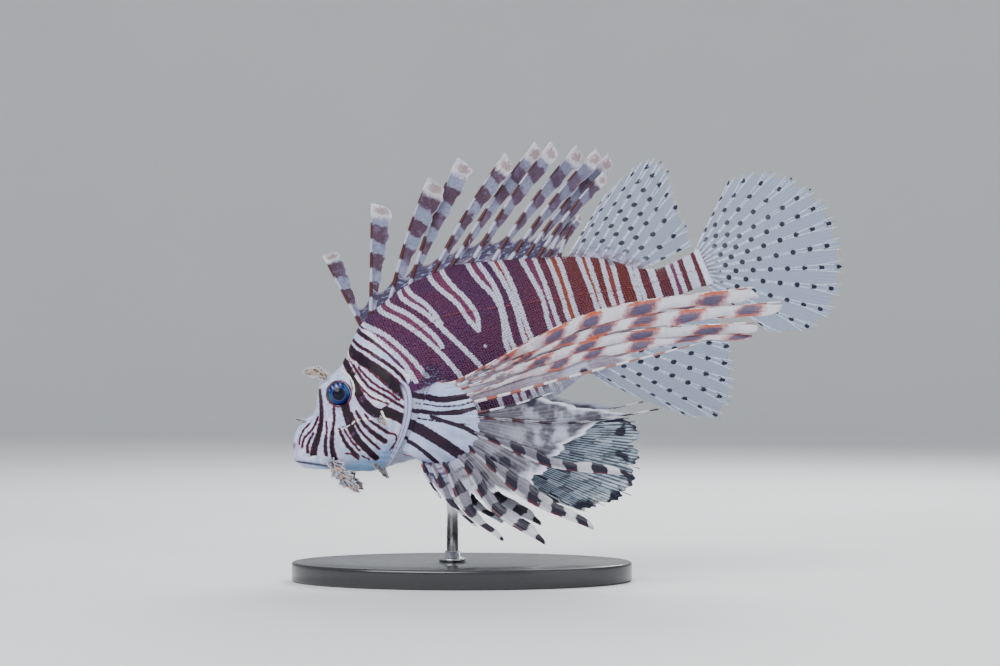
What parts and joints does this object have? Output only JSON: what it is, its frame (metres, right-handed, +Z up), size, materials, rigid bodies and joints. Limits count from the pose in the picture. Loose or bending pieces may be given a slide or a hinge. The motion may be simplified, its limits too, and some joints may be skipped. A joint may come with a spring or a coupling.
{
  "type": "red lionfish model on display stand",
  "caption": "Life-size still model of a red lionfish with striped skin, tall dorsal spines and fanned pectoral fins, on a flat oval base with one rod.",
  "frame": {"origin": "middle of the underside of the stand's base", "axes": "+Z up; -X towards the snout, so +X towards the tail; -Y towards the fish's left side"},
  "size_m": [0.2861, 0.1888, 0.2277],
  "materials": {
    "skin": "satin, maroon and white stripes",
    "skin_tabs": "satin, mottled",
    "dorsal_spines": "satin, banded brown and white",
    "clear_fins": "clear, spotted rays",
    "pectoral_fins": "satin, cream with dark blotches",
    "eye": "high gloss",
    "stand_base": "satin black",
    "stand_rod": "brushed"
  },
  "bodies": {
    "root": {"head": "skin", "torso": "skin", "tail": "skin", "dorsal_fin_spiny": "dorsal_spines", "dorsal_fin_soft": "clear_fins", "caudal_fin": "clear_fins", "anal_fin": "clear_fins", "eye_left": "eye", "pectoral_fin_upper_left": "pectoral_fins", "pectoral_fin_lower_left": "pectoral_fins", "pelvic_fin_left": "clear_fins", "brow_tentacle_left": "skin_tabs", "mouth_barbel_left": "skin_tabs", "eye_right": "eye", "pectoral_fin_upper_right": "pectoral_fins", "pectoral_fin_lower_right": "pectoral_fins", "pelvic_fin_right": "clear_fins", "brow_tentacle_right": "skin_tabs", "mouth_barbel_right": "skin_tabs", "stand_base": "stand_base", "stand_rod": "stand_rod"}
  },
  "joints": []
}
